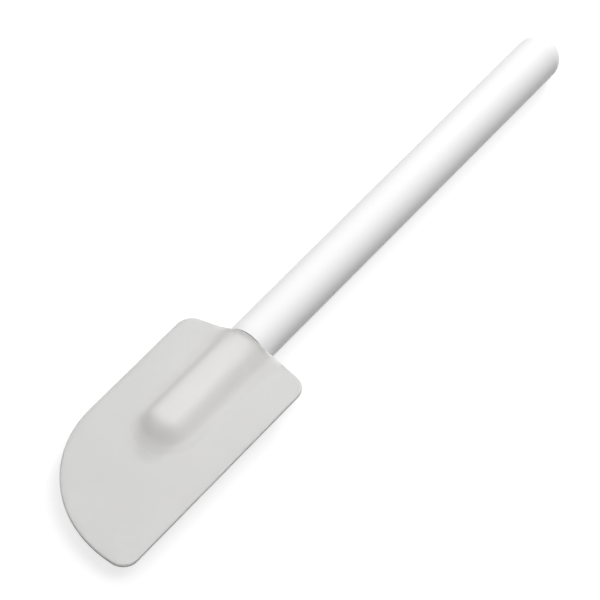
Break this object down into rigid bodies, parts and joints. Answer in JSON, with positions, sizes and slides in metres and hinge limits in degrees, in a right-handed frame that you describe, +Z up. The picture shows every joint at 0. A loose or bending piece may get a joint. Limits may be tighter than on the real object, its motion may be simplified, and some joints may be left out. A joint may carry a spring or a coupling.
{
  "type": "silicone spatula",
  "caption": "Kitchen spatula: thin D-shaped silicone blade with a round ridge, pushed onto the tang of a straight round plastic handle with a domed end.",
  "frame": {"origin": "on the surface that the tool lies on, under the middle of its footprint", "axes": "+X along the handle towards its domed end, +Z up, square to the blade's flat faces, +Y towards the blade's curved side"},
  "size_m": [0.287, 0.0522, 0.017],
  "materials": {
    "silicone": "satin, warm light grey, slightly see-through at the edges",
    "handle_plastic": "polished white",
    "tang_nylon": "natural off-white, fine moulded grain"
  },
  "bodies": {
    "handle": {"handle_tube": "handle_plastic", "tang_plug": "tang_nylon"},
    "head": {"blade_head": "silicone"}
  },
  "joints": [
    {"name": "head_pull", "type": "slide", "parent": "handle", "child": "head", "axis": [-1, 0, 0], "range_m": [0, 0.048]}
  ]
}
